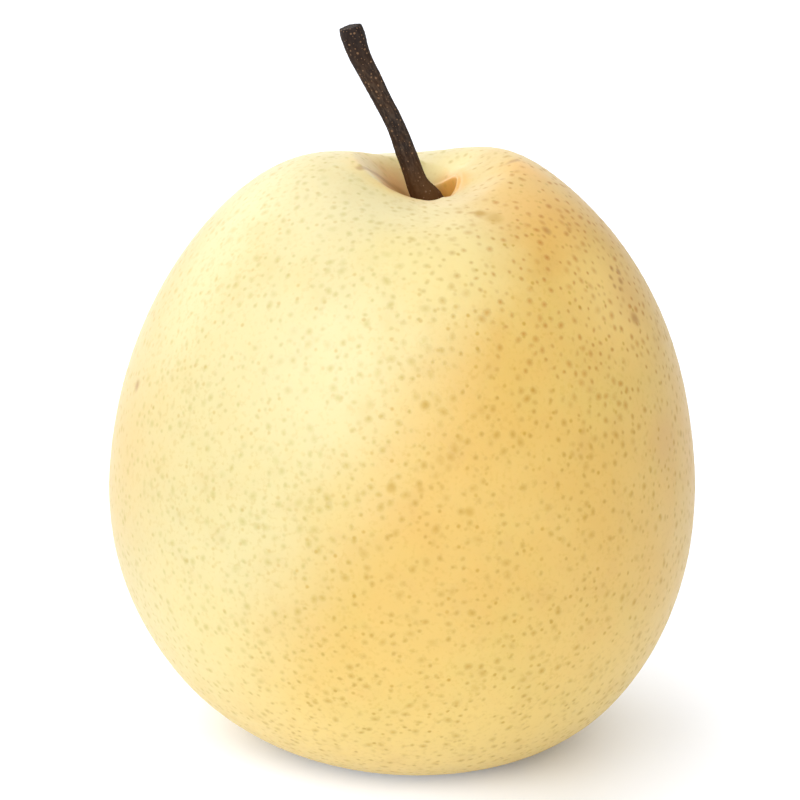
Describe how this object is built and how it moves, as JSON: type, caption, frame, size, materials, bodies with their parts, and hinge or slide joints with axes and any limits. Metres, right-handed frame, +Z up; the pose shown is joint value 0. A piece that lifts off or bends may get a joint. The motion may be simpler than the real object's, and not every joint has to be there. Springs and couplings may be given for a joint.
{
  "type": "nashi pear",
  "caption": "Single yellow nashi pear, broad at the base with a rounded shoulder, a dark woody stem leaning from the hollow on top, standing on its base.",
  "frame": {"origin": "on the surface the fruit stands on, under the middle of the fruit's outline", "axes": "+Z up along the fruit's core towards the stem, -Y the front, +X the side away from which the stem leans"},
  "size_m": [0.08, 0.08, 0.1],
  "materials": {
    "skin": "smooth thin waxy pale yellow skin with fine ochre lenticel dots and a little russet, satin",
    "stem_bark": "dark brown dry woody bark with fine lengthwise grain, dull"
  },
  "bodies": {
    "root": {"fruit": "skin", "stem": "stem_bark"}
  },
  "joints": []
}
